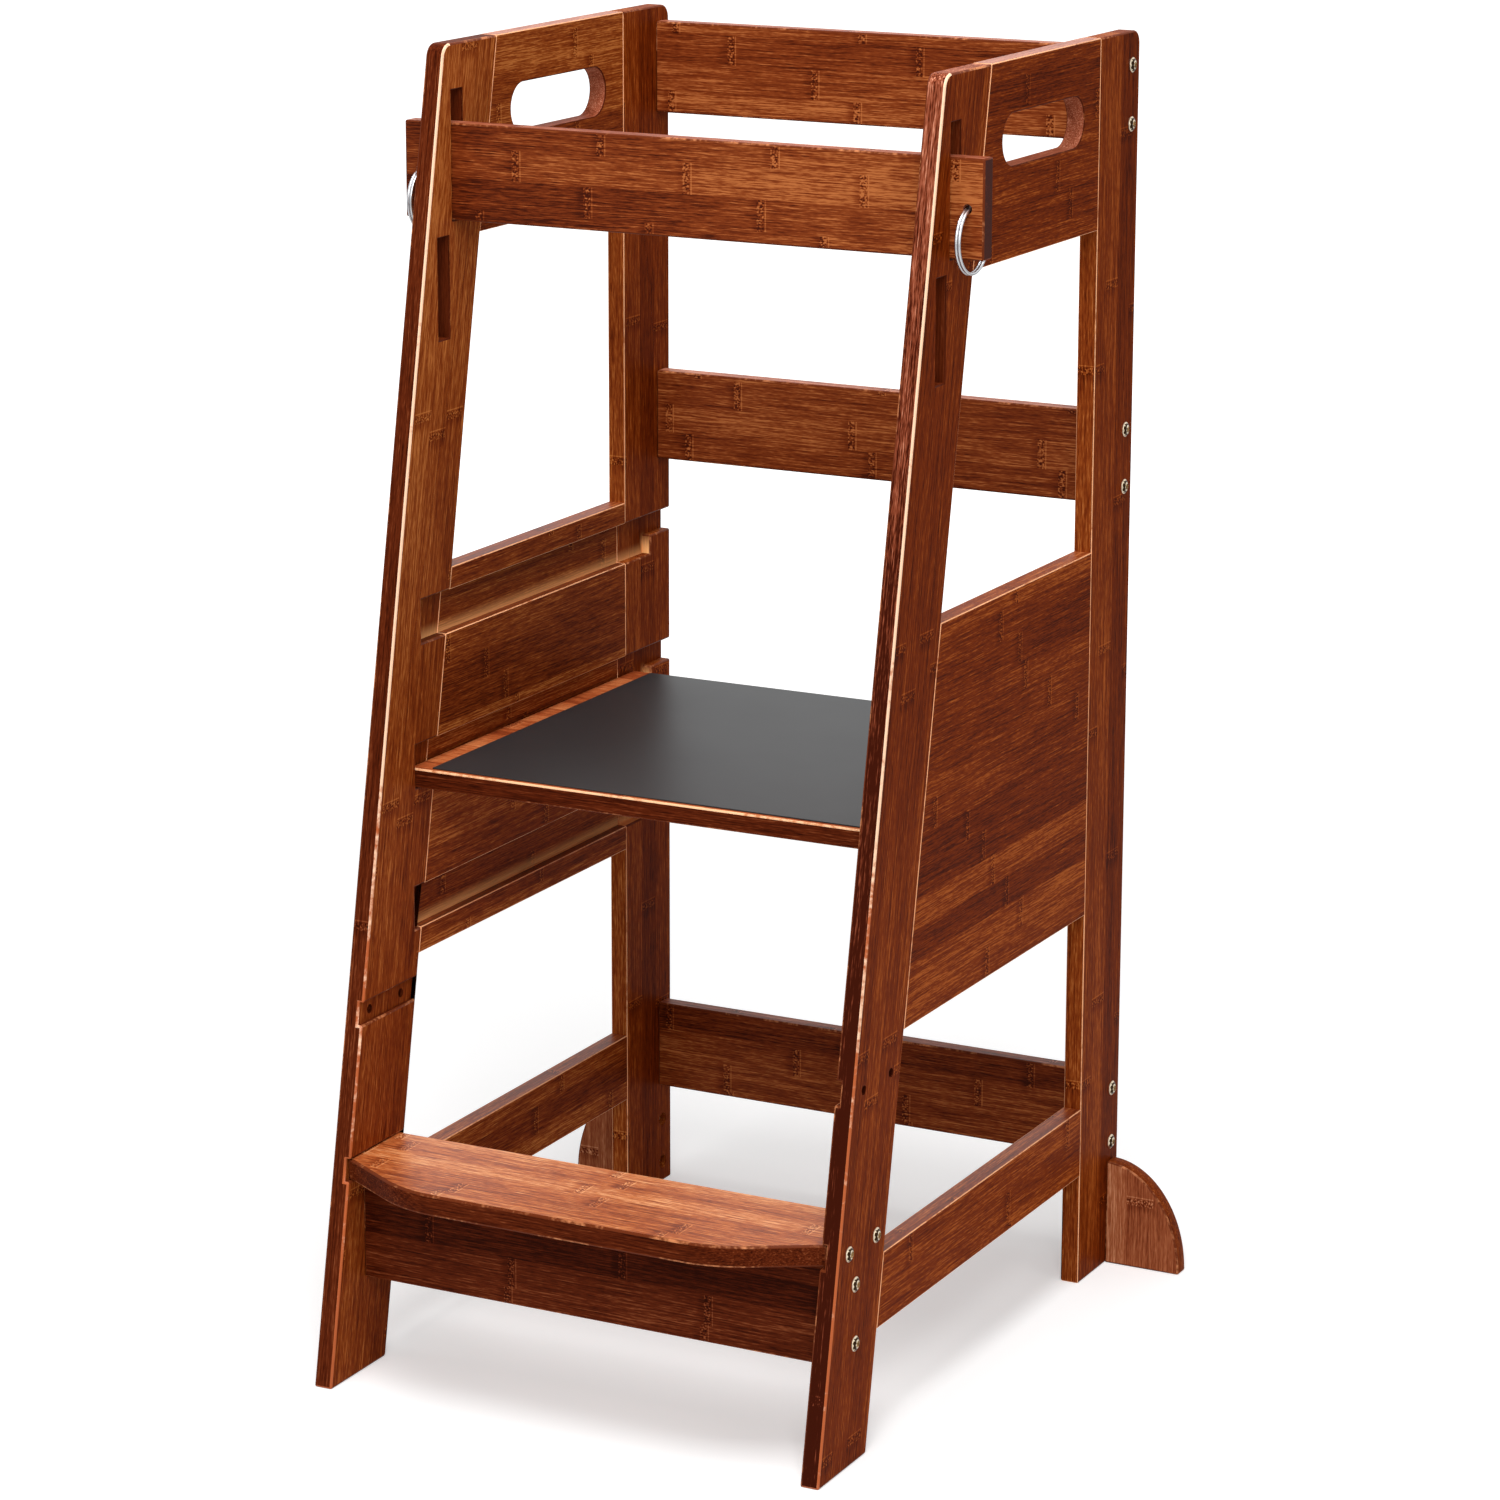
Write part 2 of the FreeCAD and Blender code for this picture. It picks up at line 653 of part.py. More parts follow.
def platform():
    """The standing board, lying in the middle pair of grooves."""
    body = new_body("platform_board")
    place(body, 0, 0, platform_bottom)
    sketch = new_sketch(body, "platform_outline", "XY_Plane")
    rectangle(sketch, -platform_half, platform_front,
              platform_half, platform_front + platform_depth)
    pad(body, sketch, S["board"])
    return body


def grip_sheet():
    half = platform_half - S["sheet_side_margin"]
    depth = platform_depth - S["sheet_front_margin"] - S["sheet_rear_margin"]
    return box("platform_sheet",
               (-half, platform_front + S["sheet_front_margin"], platform_bottom + S["board"]),
               (half * 2, depth, S["sheet_thickness"]))


# ---------------------------------------------------------------- side feet
def side_foot(side, outward):
    """A quarter-oval foot that stands out sideways from a rear leg."""
    name = side + "_foot"
    oval = doc.addObject("Part::Ellipse", name + "_oval")
    bind(oval, "MajorRadius", S["foot_height"])
    bind(oval, "MinorRadius", S["foot_length"])
    turn = FreeCAD.Rotation(vector(1, 1, 1), -120)
    oval.Placement = FreeCAD.Placement(vector(), turn)
    place(oval, outward * half_out, rail_rear - S["board"], 0)
    slab = doc.addObject("Part::Extrusion", name + "_slab")
    slab.Base = oval
    slab.DirMode = "Custom"
    slab.Dir = vector(0, 1, 0)
    slab.Solid = True
    bind(slab, "LengthFwd", S["board"])
    corner_x = half_out if outward > 0 else -half_out - S["foot_length"] - 10
    block = box(name + "_block", (corner_x, rail_rear - S["board"] - 1, 0),
                (S["foot_length"] + 10, S["board"] + 2, S["foot_height"] + 10))
    quarter = doc.addObject("Part::Common", name + "_quarter")
    quarter.Base = slab
    quarter.Tool = block
    reach = S["foot_bolt_length"] - S["board"] + S["counterbore_depth"] + S["bore_runout"]
    depth = S["nut_length"] + S["nut_sink"]
    tools = []
    for number, level in enumerate(foot_levels):
        x = half_out if outward > 0 else -half_out - reach
        tools.append(rod("%s_bore_%d" % (name, number), (x, rail_middle, level),
                         "X", S["bolt_bore"], reach))
        nut_x = outward * (half_out + S["foot_nut_inset"])
        tools.append(rod("%s_nut_bore_%d" % (name, number), (nut_x, rail_rear - depth, level),
                         "Y", nut_bore, depth))
    return cut(name, quarter, gather(name + "_bores", tools))


# --------------------------------------------------------- bolts and nuts
def domed_head(name, face, inward, y, level, head):
    """The head of a bolt: a disc rounded off by a ball that meets it at the rim."""
    height = S["bolt_head_height"]
    dome = height - S["bolt_head_rim"]
    ball_radius = (head * head / 4 + dome * dome) / (dome * 2)
    disc_x = face - height if inward > 0 else face
    disc = rod(name + "_disc", (disc_x, y, level), "X", head, height)
    ball = doc.addObject("Part::Sphere", name + "_ball")
    bind(ball, "Radius", ball_radius)
    sunk = ball_radius - height
    place(ball, face + sunk if inward > 0 else face - sunk, y, level)
    cap = doc.addObject("Part::Common", name)
    cap.Base = disc
    cap.Tool = ball
    return cap


def bolt(name, face, inward, y, level, head, length):
    """A bolt whose head sits on an x = face plane; inward is +1 or -1."""
    height = S["bolt_head_height"]
    shank_x = face if inward > 0 else face - length
    cap = domed_head(name + "_head", face, inward, y, level, head)
    stem = rod(name + "_shank", (shank_x, y, level), "X", S["bolt_shank"], length)
    socket = doc.addObject("Part::Prism", name + "_socket")
    socket.Polygon = 6
    bind(socket, "Circumradius", S["socket_width"] / math.sqrt(3))
    bind(socket, "Height", S["socket_depth"])
    socket.Placement = FreeCAD.Placement(vector(), TURN["X"])
    outer = face - height if inward > 0 else face + height - S["socket_depth"]
    place(socket, outer, y, level)
    whole = doc.addObject("Part::Fuse", name + "_solid")
    whole.Base = cap
    whole.Tool = stem
    return cut(name, whole, socket)


def barrel_nut(name, x, y, level, start, axis):
    """A barrel nut from a start point along an axis, threaded at (y, level)."""
    barrel = rod(name + "_barrel", (x,) + start, axis, S["nut_diameter"], S["nut_length"])
    across = rod(name + "_thread", (x - S["nut_diameter"], y, level), "X",
                 S["nut_thread"], S["nut_diameter"] * 2)
    return cut(name, barrel, across)


def fasten(name, places, axis):
    """Bolts through both sides into a board, and their barrel nuts."""
    bolts = []
    nuts = []
    for number, (y, level, nut_start) in enumerate(places):
        for side, outward in SIDES:
            stem = "%s_%s_%d" % (name, side, number)
            bolts.append(bolt(stem + "_bolt", outward * half_out, -outward, y, level,
                              S["bolt_head"], S["bolt_length"]))
            nuts.append(barrel_nut(stem + "_nut", outward * (half_in - S["nut_inset"]),
                                   y, level, nut_start, axis))
    return [gather(name + "_bolts", bolts), gather(name + "_nuts", nuts)]


def foot_fasteners():
    bolts = []
    nuts = []
    nut_y = rail_rear - S["nut_sink"] - S["nut_length"]
    for side, outward in SIDES:
        seat = outward * (half_in + S["counterbore_depth"])
        for number, level in enumerate(foot_levels):
            stem = "foot_%s_%d" % (side, number)
            bolts.append(bolt(stem + "_bolt", seat, outward, rail_middle, level,
                              S["foot_bolt_head"], S["foot_bolt_length"]))
            nuts.append(barrel_nut(stem + "_nut", outward * (half_out + S["foot_nut_inset"]),
                                   rail_middle, level, (nut_y, level), "Y"))
    return [gather("foot_bolts", bolts), gather("foot_nuts", nuts)]


def ring(side, outward):
    """A wire ring hanging through the hole of a guard-rail tab."""
    piece = doc.addObject("Part::Torus", side + "_ring")
    bind(piece, "Radius1", S["ring_mean"] / 2)
    bind(piece, "Radius2", S["ring_wire"] / 2)
    piece.Placement = FreeCAD.Placement(vector(), TURN["X"])
    place(piece, outward * ring_x, guard_middle, guard_level - S["ring_mean"] / 2)
    return piece


# ---------------------------------------------------------------- assembly
SIDES = [("left", -1), ("right", 1)]
nodes = []
for side, outward in SIDES:
    nodes.append(front_leg(side, outward))
    nodes.append(rear_leg(side, outward))
    nodes.append(handle_board(side, outward))
    nodes.append(side_panel(side, outward))
    nodes.append(side_rail(side, outward))
    nodes.append(side_dowels(side, outward))
    nodes.append(side_foot(side, outward))
    nodes.append(ring(side, outward))

sunk_nut_y = rail_rear - S["nut_sink"] - S["nut_length"]
for name, bottom in BACK_RAILS:
    level = bottom + S["rail_height"] / 2
    levels = [level + offset for offset in bolt_pair]
    nodes.append(cross_board("back_rail_" + name, rail_rear - S["board"], bottom,
                             S["rail_height"], levels))
    places = [(rail_middle, z, (sunk_nut_y, z)) for z in levels]
    nodes.extend(fasten(name + "_rail", places, "Y"))

apron_levels = [apron_level + offset for offset in bolt_pair]
nodes.append(cross_board("front_apron", apron_front, S["apron_bottom"], apron_height,
                         apron_levels))
apron_nut_y = apron_front + S["board"] - S["nut_sink"] - S["nut_length"]
places = [(apron_front + S["board"] / 2, z, (apron_nut_y, z)) for z in apron_levels]
nodes.extend(fasten("apron", places, "Y"))

nodes.append(front_step())
step_nut_z = step_bottom + S["nut_sink"]
places = []
for offset in step_pair:
    y = step_bolt_y(step_level, offset)
    places.append((y, step_level, (y, step_nut_z)))
nodes.extend(fasten("step", places, "Z"))

nodes.append(guard_rail())
nodes.append(platform())
nodes.append(grip_sheet())
nodes.extend(foot_fasteners())
doc.recompute()

# ------------------------------------------------------------ check and write
for thing in doc.Objects:
    if "Invalid" in thing.State or "Error" in thing.State:
        raise RuntimeError("%s did not build: %s" % (thing.Label, thing.State))

os.makedirs("parts", exist_ok=True)
for node in nodes:
    shape = node.Shape
    if shape.isNull() or not shape.isValid() or not shape.Solids:
        raise RuntimeError(node.Label + " has no sound solid")
    shape.exportStep("parts/%s.step" % node.Label)
    print("%-22s %2d solid(s) %10.0f mm3" % (node.Label, len(shape.Solids), shape.Volume))

total = FreeCAD.BoundBox()
for node in nodes:
    total.add(node.Shape.BoundBox)
print("%d nodes, box %.1f x %.1f x %.1f mm" % (
    len(nodes), total.XLength, total.YLength, total.ZLength))
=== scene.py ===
# %% [markdown]
# # A toddler's kitchen helper stool
#
# The real stool is made of thin laminated-bamboo boards, stained a red brown,
# and held together by glue and by zinc-plated bolts.  A child climbs the bowed
# step and stands on a board that lies in side grooves, behind a guard rail
# that lifts out.  This file dresses the stool's solids: each board gets
# softened edges and a bamboo finish of its own, and then comes the studio.
#
# Metres throughout.  X runs along the front, Y from front to back, Z up.

import math

import bmesh
import bpy
from mathutils import Matrix, Vector


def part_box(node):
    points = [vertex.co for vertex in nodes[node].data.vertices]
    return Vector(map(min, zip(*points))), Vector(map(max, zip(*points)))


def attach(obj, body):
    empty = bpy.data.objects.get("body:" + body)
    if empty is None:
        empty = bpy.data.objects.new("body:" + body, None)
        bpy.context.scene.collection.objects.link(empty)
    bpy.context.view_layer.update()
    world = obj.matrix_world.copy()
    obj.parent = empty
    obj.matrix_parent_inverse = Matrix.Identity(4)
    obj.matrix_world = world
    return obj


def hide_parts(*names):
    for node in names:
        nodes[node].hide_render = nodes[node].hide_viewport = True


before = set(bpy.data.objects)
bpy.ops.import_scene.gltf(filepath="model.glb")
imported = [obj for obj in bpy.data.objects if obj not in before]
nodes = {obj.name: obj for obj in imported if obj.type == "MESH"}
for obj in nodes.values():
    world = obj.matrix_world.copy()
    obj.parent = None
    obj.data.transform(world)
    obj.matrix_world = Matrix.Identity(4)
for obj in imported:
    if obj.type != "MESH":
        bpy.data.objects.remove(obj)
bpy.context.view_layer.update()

# %% [markdown]
# ## Shader maths as plain Python
#
# A procedural finish is a small sum: strips plus grain plus flecks.  Written
# node by node it is hard to read, so one class wraps a socket and lets Python
# operators add the Math nodes, and another one holds the tree of nodes itself.


# %% A socket that can be added and multiplied
class Wire:
    """A shader socket that takes part in Python expressions."""

    def __init__(self, finish, socket):
        self.finish = finish
        self.socket = socket

    def math(self, operation, *others):
        inputs = dict(enumerate((self,) + others))
        node = self.finish.add("ShaderNodeMath", {"operation": operation}, inputs)
        return Wire(self.finish, node.outputs[0])

    def __add__(self, other):
        return self.math("ADD", other)

    def __sub__(self, other):
        return self.math("SUBTRACT", other)

    def __rsub__(self, other):
        return self.math("MULTIPLY", -1.0) + other

    def __mul__(self, other):
        return self.math("MULTIPLY", other)

    def __truediv__(self, other):
        return self.math("DIVIDE", other)

    __radd__ = __add__
    __rmul__ = __mul__


# %% A finish: one material and the nodes it needs
class Finish:
    """A material under construction, or a world where shelf is bpy.data.worlds."""

    def __init__(self, name, shelf=None):
        if shelf is None:
            shelf = bpy.data.materials
        self.owner = shelf.new(name)
        self.owner.use_nodes = True
        self.tree = self.owner.node_tree
        self.tree.nodes.clear()

    def add(self, kind, settings=None, inputs=None):
        """One node: its settings first, then the values or links of its sockets."""
        node = self.tree.nodes.new(kind)
        for name, value in (settings or {}).items():
            if name == "stops":
                set_stops(node.color_ramp, value)
            else:
                setattr(node, name, value)
        for name, value in (inputs or {}).items():
            value = value.socket if isinstance(value, Wire) else value
            if isinstance(value, bpy.types.NodeSocket):
                self.tree.links.new(value, node.inputs[name])
            else:
                node.inputs[name].default_value = value
        return node

    def place(self):
        """The point being shaded, as three wires in metres."""
        point = self.add("ShaderNodeTexCoord").outputs["Object"]
        parts = self.add("ShaderNodeSeparateXYZ", inputs={0: point})
        return [Wire(self, socket) for socket in parts.outputs]

    def ray(self, kind):
        """1 for a ray of this kind, such as Camera or Glossy, and 0 for any other."""
        return Wire(self, self.add("ShaderNodeLightPath").outputs["Is %s Ray" % kind])

    def point(self, x, y, z):
        return self.add("ShaderNodeCombineXYZ", inputs={0: x, 1: y, 2: z}).outputs[0]

    def noise(self, point, detail=2.0):
        settings = {"noise_dimensions": "3D"}
        inputs = {"Vector": point, "Scale": 1.0, "Detail": detail}
        node = self.add("ShaderNodeTexNoise", settings, inputs)
        return Wire(self, node.outputs[0])

    def even_noise(self, place, waves, detail):
        """Noise with the same number of waves to the metre every way."""
        return self.noise(self.point(*[part * waves for part in place]), detail)

    def chance(self, number):
        """A steady random value from 0 to 1 for each whole number."""
        settings = {"noise_dimensions": "1D"}
        node = self.add("ShaderNodeTexWhiteNoise", settings, {"W": number})
        return Wire(self, node.outputs[0])

    def rise(self, value, low, high):
        """0 below low, 1 above high, and a smooth step between them."""
        settings = {"interpolation_type": "SMOOTHSTEP"}
        inputs = {"Value": value, "From Min": low, "From Max": high}
        node = self.add("ShaderNodeMapRange", settings, inputs)
        return Wire(self, node.outputs[0])

    def fall(self, value, low, high):
        """1 below low, 0 above high, and a smooth step between them."""
        return 1.0 - self.rise(value, low, high)

    def between(self, value, start, full, fade, end):
        """0 outside start and end, and 1 from full to fade."""
        return self.rise(value, start, full) * self.fall(value, fade, end)

    def ramp(self, value, stops):
        return self.add("ShaderNodeValToRGB", {"stops": stops}, {0: value}).outputs[0]

    def blend(self, factor, first, second):
        settings = {"data_type": "RGBA"}
        inputs = {0: factor, 6: first, 7: second}
        return self.add("ShaderNodeMix", settings, inputs).outputs[2]

    def bump(self, height, strength, distance):
        inputs = {"Height": height, "Strength": strength, "Distance": distance}
        return self.add("ShaderNodeBump", inputs=inputs).outputs[0]

    def surface(self, **sockets):
        """Close the material with a Principled surface."""
        titles = {name: name.replace("_", " ").title().replace("Ior", "IOR") for name in sockets}
        inputs = {titles[name]: value for name, value in sockets.items()}
        shader = self.add("ShaderNodeBsdfPrincipled", inputs=inputs)
        self.add("ShaderNodeOutputMaterial", inputs={"Surface": shader.outputs[0]})
        print("finish:", self.owner.name, len(self.tree.nodes), "nodes")
        return self.owner


def set_stops(ramp, stops):
    """Give a colour ramp its stops, a list of (place, colour)."""
    for place, colour in stops[1:-1]:
        ramp.elements.new(place)
    for element, (place, colour) in zip(ramp.elements, stops):
        element.position = place
        element.color = colour


def paint(red, green, blue):
    """A colour from the 0-255 numbers of a paint chart, as linear RGBA."""
    shares = [value / 255 for value in (red, green, blue)]
    linear = [s / 12.92 if s < 0.04045 else ((s + 0.055) / 1.055) ** 2.4 for s in shares]
    return (*linear, 1.0)


# %% [markdown]
# ## Bamboo
#
# The boards are glued from split bamboo strips laid side by side.  Each strip
# took the stain differently, each has its own knuckles, the dark bands where
# the cane had a joint, and all of it is covered with fine fibres that run
# along the board.  A picture could be stretched over the boards, but a finish
# worked out from the place in the board runs on over every edge and groove.
#
# A finish reads the place as three lengths: along the fibres, across the
# strips, and through the board.  Which of X, Y and Z is which depends on how
# the board lies, and on the leaning legs the fibres follow the lean.

# %% Which way the fibres run
leg_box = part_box("left_front_leg")
half_in = -leg_box[1].x
leg_width = 0.070
leg_height = leg_box[1].z
leg_lean = (leg_box[1].y - leg_box[0].y - leg_width) / leg_height
GRAIN = {
    "upright": lambda x, y, z: (z, y, x),
    "foot": lambda x, y, z: (z, x, y),
    "leaning": lambda x, y, z: (z, y - z * leg_lean, x),
    "sideways": lambda x, y, z: (y, z, x),
    "crosswise": lambda x, y, z: (x, z, y),
    "flat": lambda x, y, z: (x, y, z),
}
print("front legs lean %.1f degrees" % math.degrees(math.atan(leg_lean)))

# %% [markdown]
# The standing board slides in and out of the side grooves.  A highlight is
# painted along the bottom of each groove and on the wall at its rear end, a
# pale colour where the light catches them.  The three grooves are evenly
# spaced, so one mask repeats itself at that spacing.

# %% Where a highlight is painted in the grooves
LOW_GROOVE, GROOVE_SPACING = 0.296, 0.100
GROOVE_DEPTHS = (0.0006, 0.0020, 0.0076, 0.0080)
GROOVE_HEIGHTS = [LOW_GROOVE + over for over in (-0.002, -0.001, 0.234, 0.236)]
GROOVE_HIGHLIGHT_HEIGHT = 0.010
SILL_WALL = leg_box[0].y + 0.460
print("grooves from %.3f m up, sill wall at y %.3f m" % (LOW_GROOVE, SILL_WALL))


def groove_highlight(finish, x, y, z):
    """A mask for each groove's floor and rear end, where a highlight is painted."""
    inside = finish.between(x.math("ABSOLUTE") - half_in, *GROOVE_DEPTHS)
    over_floor = ((z - LOW_GROOVE) / GROOVE_SPACING).math("FRACT") * GROOVE_SPACING
    floor_share = 1.0 - finish.rise(over_floor, 0.0, GROOVE_HIGHLIGHT_HEIGHT).math("SQRT")
    wall_share = finish.fall((y - SILL_WALL).math("ABSOLUTE"), 0.0008, 0.0050)
    wall_share = wall_share * finish.fall(over_floor, 0.0020, 0.0180)
    share = floor_share.math("MAXIMUM", wall_share)
    return inside * share * finish.between(z, *GROOVE_HEIGHTS)


# %% [markdown]
# A knuckle of the cane shows as three things in a row: the strip darkens
# towards it, a band of dots crosses the strip, and a thin pale line closes it.
# Each is a stretch of the length past the knuckle's middle.

# %% The knuckles of the cane
RUN_UP, RUN_UP_TONE = (-0.0110, -0.0030, 0.0020, 0.0024), -0.22
DOTTED, DOTTED_TONE = (-0.0034, -0.0030, 0.0018, 0.0022), 2.4
PALE_LINE, PALE_LINE_TONE = (0.0026, 0.0030, 0.0034, 0.0038), 0.34
DOTS = (700.0, 900.0, 0.0)
DOT_LEVEL = 0.46


def stretched(finish, run, lengthwise, crosswise, detail):
    """Noise drawn out along the fibres, told by its waves to the metre each way."""
    along, across, through = run
    point = finish.point(along * lengthwise, across * crosswise, through * crosswise)
    return finish.noise(point, detail)


def knuckles(finish, run, shift, spacing):
    """What the knuckles add to the tone; shift moves them along their strip."""
    turn = (run[0] / spacing + shift).math("FRACT")
    past = (turn - 0.5) * spacing
    dots = stretched(finish, run, *DOTS) - DOT_LEVEL
    dark = finish.between(past, *RUN_UP) * RUN_UP_TONE
    dotted = finish.between(past, *DOTTED) * dots * DOTTED_TONE
    return dark + dotted + finish.between(past, *PALE_LINE) * PALE_LINE_TONE


print("a knuckle is %.1f mm long" % ((PALE_LINE[-1] - RUN_UP[0]) * 1000))

# %% [markdown]
# The strips are numbered across the board, and the number picks the strip's
# tint.  Boards side by side get other numbers, so no two look the same.  On
# top of that lie four layers of noise, all drawn out along the fibres: long
# streaks, fibres, blotches of stain and short flecks.  The sum picks a colour
# from four tones of stain.  The fibres also set the roughness and, with the
# flecks, a very shallow relief.

# %% The bamboo finish
LAYERS = {
    "streak": {"waves": (2.5, 260.0, 2.0), "weight": 0.60},
    "fibre": {"waves": (34.0, 1150.0, 2.0), "weight": 1.6},
    "blotch": {"waves": (8.0, 34.0, 1.0), "weight": 0.36},
    "fleck": {"waves": (170.0, 1500.0, 1.0), "weight": 0.9},
}
STRIPS_THROUGH = 9.0
TINT_SEED, SHIFT_SEED = 0.5, 31.5
GROOVE_HIGHLIGHT_COLOUR = paint(255, 186, 120)


def level_tone(finish, x, y, z):
    return 0.0


def bamboo(name, grain, tones, strip=0.021, contrast=1.0, shine=0.012, knuckle_spacing=0.26,
           strip_contrast=0.38, shade=level_tone, grooves=False):
    """Stained laminated bamboo; tones run from the darkest to the palest.

    strip is a strip's width, and shade gives what the place on the board adds
    to the tone.
    """
    finish = Finish(name)
    x, y, z = finish.place()
    run = GRAIN[grain](x, y, z)
    number = (run[1] / strip + run[2] * STRIPS_THROUGH).math("FLOOR")
    tint = finish.chance(number + TINT_SEED)
    shift = finish.chance(number + SHIFT_SEED)
    noises = {key: stretched(finish, run, *layer["waves"]) for key, layer in LAYERS.items()}
    tone = 0.5 + (tint - 0.5) * strip_contrast
    for key, layer in LAYERS.items():
        tone = tone + (noises[key] - 0.5) * layer["weight"]
    tone = (tone - 0.5) * contrast + 0.5 + shade(finish, x, y, z)
    tone = tone + knuckles(finish, run, shift, knuckle_spacing)
    last = len(tones) - 1
    colour = finish.ramp(tone, [(i / last, stain) for i, stain in enumerate(tones)])
    fibre = noises["fibre"]
    # The painted highlight in the grooves, laid over the stain.
    if grooves:
        share = groove_highlight(finish, x, y, z) * (0.85 + (fibre - 0.5) * 0.7)
        colour = finish.blend(share, colour, GROOVE_HIGHLIGHT_COLOUR)
    relief = fibre * 0.7 + noises["fleck"] * 0.3
    return finish.surface(
        base_color=colour,
        roughness=0.32 + fibre * 0.20,
        specular_ior_level=shine,
        normal=finish.bump(relief, strength=0.16, distance=0.0004),
    )


# %% [markdown]
# ## Worn edges and painted highlights
#
# The stain is thin on every sharp corner of the real boards, so a cream line
# runs along the edges.  It could be found with a pointiness mask, but that
# needs a dense mesh.  Here the softened edges are faces of their own, made
# further down, and this pale finish is laid on them.  It is broken up by large
# patches and small nicks.  On corners that face the light the cream line is
# also a painted highlight.

# %% The finish of the edges
PATCH_WAVES, NICK_WAVES = 22.0, 260.0
LEAST_WORN = 0.70
LOW_EDGES = (0.10, 0.66)


def edge_finish(name, pale, stained, bare, fade=False, shine=0.06):
    """whitened is the share of the edge that goes pale, from wear and, on lit corners, from a
    painted highlight; fade makes the painted highlight fainter on low edges.
    """
    finish = Finish(name)
    place = finish.place()
    patch = finish.even_noise(place, PATCH_WAVES, 3.0)
    nick = finish.even_noise(place, NICK_WAVES, 2.0)
    share = patch * 0.6 + nick * 0.4 + bare * 0.45 - LEAST_WORN
    if fade:
        share = share - finish.fall(place[2], *LOW_EDGES) * 0.30
    gone = finish.rise(share, 0.0, 0.18)
    return finish.surface(
        base_color=finish.blend(gone, stained, pale),
        roughness=0.35 + nick * 0.15,
        specular_ior_level=shine,
    )


# %% [markdown]
# ## The stains and painted light
#
# One stain was used for the whole stool, yet it came out differently from
# board to board, and some tones also carry painted light.  The board below the
# step is darkest, a painted shade for the step's shadow.  The rails' narrow
# edges are pinker, partly a painted sheen on their tops.  The step is a pale
# warm orange, a painted highlight where the overhead light falls flat on it.
# One set of tones for all would be less work, but the boards are told apart by
# these small differences.  Each kind of surface has four tones.

# %% The tones, from the darkest to the palest
SIDE_TONES = [paint(64, 18, 2), paint(102, 36, 6), paint(126, 50, 10), paint(172, 88, 34)]
INNER_TONES = [paint(76, 26, 6), paint(116, 46, 14), paint(144, 68, 24), paint(190, 112, 54)]
RIM_TONES = [paint(50, 14, 4), paint(80, 28, 9), paint(100, 40, 16), paint(140, 74, 42)]
RAIL_TONES = [paint(64, 20, 6), paint(108, 42, 14), paint(136, 62, 25), paint(184, 106, 56)]
# Part of the pale pink is painted light: a sheen on the tops of rails and handles.
PINK_TONES = [paint(62, 20, 8), paint(122, 56, 34), paint(160, 88, 62), paint(214, 146, 116)]
FOOT_TONES = [paint(92, 36, 16), paint(140, 70, 40), paint(170, 98, 62), paint(210, 144, 104)]
# The step's tones are paler than the rest, a painted highlight where the overhead light falls flat
# on its top.
STEP_TONES = [paint(112, 46, 16), paint(168, 82, 36), paint(206, 122, 66), paint(240, 178, 126)]
PLATFORM_TONES = [paint(100, 36, 12), paint(152, 66, 28), paint(190, 98, 50), paint(220, 140, 86)]

# %% [markdown]
# The tone isn't even over a board either.  The left front leg is paler
# towards its top, and so is the front of the right one: painted light, as the
# light falls from above and the low parts lie in shade.  The guard rail is
# paler towards the right, painted light from the lamp on that side, and its
# ends are dark.  Each of these is a small function that adds to the tone.

# %% How painted light and stain change the tone over a board
GUARD_RAIL_ENDS = (0.2148, 0.2156)


def paler_above(low, high, amount, base=0.0):
    """A tone that changes by amount from the height low to the height high."""
    return lambda finish, x, y, z: finish.rise(z, low, high) * amount + base


# Painted light: the guard rail is paler towards the right, where the lamp stands.
def paler_to_the_right(finish, x, y, z):
    return x * 1.2


def dark_ends(finish, x, y, z):
    """End grain drinks more stain; the guard rail's ends lie beyond its rings."""
    return finish.rise(x.math("ABSOLUTE"), *GUARD_RAIL_ENDS) * -0.8


# Painted shade: the board under the step is darkened as if in the step's shadow.
def painted_step_shadow(finish, x, y, z):
    return -0.16


# %% Finishes of the two sides
leaning_bamboo = {
    # Painted light: the left leg is paler towards its top, where more light falls.
    "left": bamboo("left front leg bamboo", "leaning", INNER_TONES, grooves=True,
                   shade=paler_above(0.35, 0.85, 0.22)),
    "right": bamboo("right front leg bamboo", "leaning", SIDE_TONES, grooves=True),
}
upright_bamboo = bamboo("rear leg bamboo", "upright", SIDE_TONES, grooves=True)
sideways_bamboo = {
    "left": bamboo("left side board bamboo", "sideways", INNER_TONES, grooves=True),
    "right": bamboo("right side board bamboo", "sideways", SIDE_TONES, grooves=True,
                    shade=paler_above(0.55, 0.75, -0.10)),
}
foot_bamboo = bamboo("foot bamboo", "foot", FOOT_TONES, shine=0.03, contrast=0.8)

# %% Finishes of the sides' rims and openings
RARE_KNUCKLES = 0.9
leaning_rim = {
    "left": bamboo("left front leg rim", "leaning", RIM_TONES, knuckle_spacing=RARE_KNUCKLES),
    # Painted light: the right leg's front is dark low down and paler towards the top.
    "right": bamboo("right front leg rim", "leaning", PINK_TONES, contrast=1.4,
                    knuckle_spacing=RARE_KNUCKLES,
                    shade=paler_above(0.2, 0.85, 0.75, base=-0.70)),
}
upright_rim = bamboo("rear leg rim", "upright", INNER_TONES, grooves=True)
sideways_rim = bamboo("side board rim", "sideways", RAIL_TONES, shine=0.22)
handle_rim = bamboo("handle board rim", "sideways", PINK_TONES, shine=0.60)
